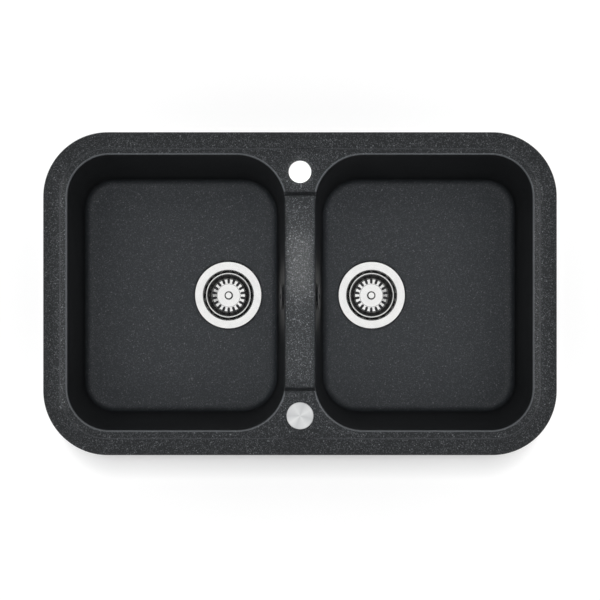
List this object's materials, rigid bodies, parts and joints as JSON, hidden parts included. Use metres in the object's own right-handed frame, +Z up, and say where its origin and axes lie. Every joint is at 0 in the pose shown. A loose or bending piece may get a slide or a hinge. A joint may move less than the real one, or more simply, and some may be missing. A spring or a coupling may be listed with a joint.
{
  "type": "kitchen sink",
  "caption": "Inset double bowl kitchen sink moulded in dark composite, with a lowered saddle between its bowls, basket wastes, overflow, tap hole, tap hole cover and worktop clips.",
  "frame": {"origin": "middle of the worktop's cut-out, at the top of the worktop, where the rim's underside lies", "axes": "+X to the right along the rim's long side, +Y towards the tap hole, +Z up"},
  "size_m": [0.795, 0.5, 0.2901],
  "materials": {
    "composite": "moulded stone and resin, dark anthracite with fine pale flecks, satin",
    "satin_steel": "pressed stainless steel, satin to bright",
    "spun_steel": "stainless steel with fine turned lines",
    "zinc_steel": "zinc plated sheet steel",
    "brass": "plain turned brass",
    "rubber": "moulded rubber, matt",
    "foam": "closed cell foam strip",
    "plastic": "injection moulded polypropylene, off-white, faintly grained"
  },
  "bodies": {
    "root": {"sink_body": "composite", "rim_seal": "foam", "left_strainer_cup": "satin_steel", "left_cup_seal": "rubber", "left_waste_gasket": "rubber", "left_waste_body": "plastic", "left_clamp_screw": "zinc_steel", "left_clamp_insert": "brass", "left_overflow_cover": "satin_steel", "left_overflow_screw": "satin_steel", "left_overflow_gasket": "rubber", "right_strainer_cup": "satin_steel", "right_cup_seal": "rubber", "right_waste_gasket": "rubber", "right_waste_body": "plastic", "right_clamp_screw": "zinc_steel", "right_clamp_insert": "brass", "right_overflow_cover": "satin_steel", "right_overflow_screw": "satin_steel", "right_overflow_gasket": "rubber", "overflow_collector": "plastic", "overflow_hose": "plastic", "hose_nut_lower": "plastic", "hose_nut_upper": "plastic", "inlet_cap": "plastic", "tap_hole_cover": "spun_steel", "tap_hole_cover_seal": "rubber", "tap_hole_cover_washer": "plastic", "tap_hole_cover_nut": "plastic", "clip_screw_right_front_side": "zinc_steel", "clip_screw_left_front_side": "zinc_steel", "clip_screw_right_back_side": "zinc_steel", "clip_screw_left_back_side": "zinc_steel", "clip_screw_back_left": "zinc_steel", "clip_screw_front_left": "zinc_steel", "clip_screw_back_right": "zinc_steel", "clip_screw_front_right": "zinc_steel"},
    "left_basket_strainer": {"left_basket": "satin_steel", "left_basket_knob": "satin_steel", "left_basket_plug": "rubber", "left_basket_nut": "satin_steel"},
    "right_basket_strainer": {"right_basket": "satin_steel", "right_basket_knob": "satin_steel", "right_basket_plug": "rubber", "right_basket_nut": "satin_steel"},
    "clip_right_front_side_bracket": {"clip_right_front_side": "zinc_steel"},
    "clip_left_front_side_bracket": {"clip_left_front_side": "zinc_steel"},
    "clip_right_back_side_bracket": {"clip_right_back_side": "zinc_steel"},
    "clip_left_back_side_bracket": {"clip_left_back_side": "zinc_steel"},
    "clip_back_left_bracket": {"clip_back_left": "zinc_steel"},
    "clip_front_left_bracket": {"clip_front_left": "zinc_steel"},
    "clip_back_right_bracket": {"clip_back_right": "zinc_steel"},
    "clip_front_right_bracket": {"clip_front_right": "zinc_steel"}
  },
  "joints": [
    {"name": "left_basket_lift", "type": "slide", "parent": "root", "child": "left_basket_strainer", "axis": [0, 0, 1], "range_m": [0, 0.22]},
    {"name": "right_basket_lift", "type": "slide", "parent": "root", "child": "right_basket_strainer", "axis": [0, 0, 1], "range_m": [0, 0.22]},
    {"name": "clip_right_front_side_slide", "type": "slide", "parent": "root", "child": "clip_right_front_side_bracket", "axis": [0, 0, 1], "range_m": [-0.009, 0.009]},
    {"name": "clip_left_front_side_slide", "type": "slide", "parent": "root", "child": "clip_left_front_side_bracket", "axis": [0, 0, 1], "range_m": [-0.009, 0.009]},
    {"name": "clip_right_back_side_slide", "type": "slide", "parent": "root", "child": "clip_right_back_side_bracket", "axis": [0, 0, 1], "range_m": [-0.009, 0.009]},
    {"name": "clip_left_back_side_slide", "type": "slide", "parent": "root", "child": "clip_left_back_side_bracket", "axis": [0, 0, 1], "range_m": [-0.009, 0.009]},
    {"name": "clip_back_left_slide", "type": "slide", "parent": "root", "child": "clip_back_left_bracket", "axis": [0, 0, 1], "range_m": [-0.009, 0.009]},
    {"name": "clip_front_left_slide", "type": "slide", "parent": "root", "child": "clip_front_left_bracket", "axis": [0, 0, 1], "range_m": [-0.009, 0.009]},
    {"name": "clip_back_right_slide", "type": "slide", "parent": "root", "child": "clip_back_right_bracket", "axis": [0, 0, 1], "range_m": [-0.009, 0.009]},
    {"name": "clip_front_right_slide", "type": "slide", "parent": "root", "child": "clip_front_right_bracket", "axis": [0, 0, 1], "range_m": [-0.009, 0.009]}
  ]
}
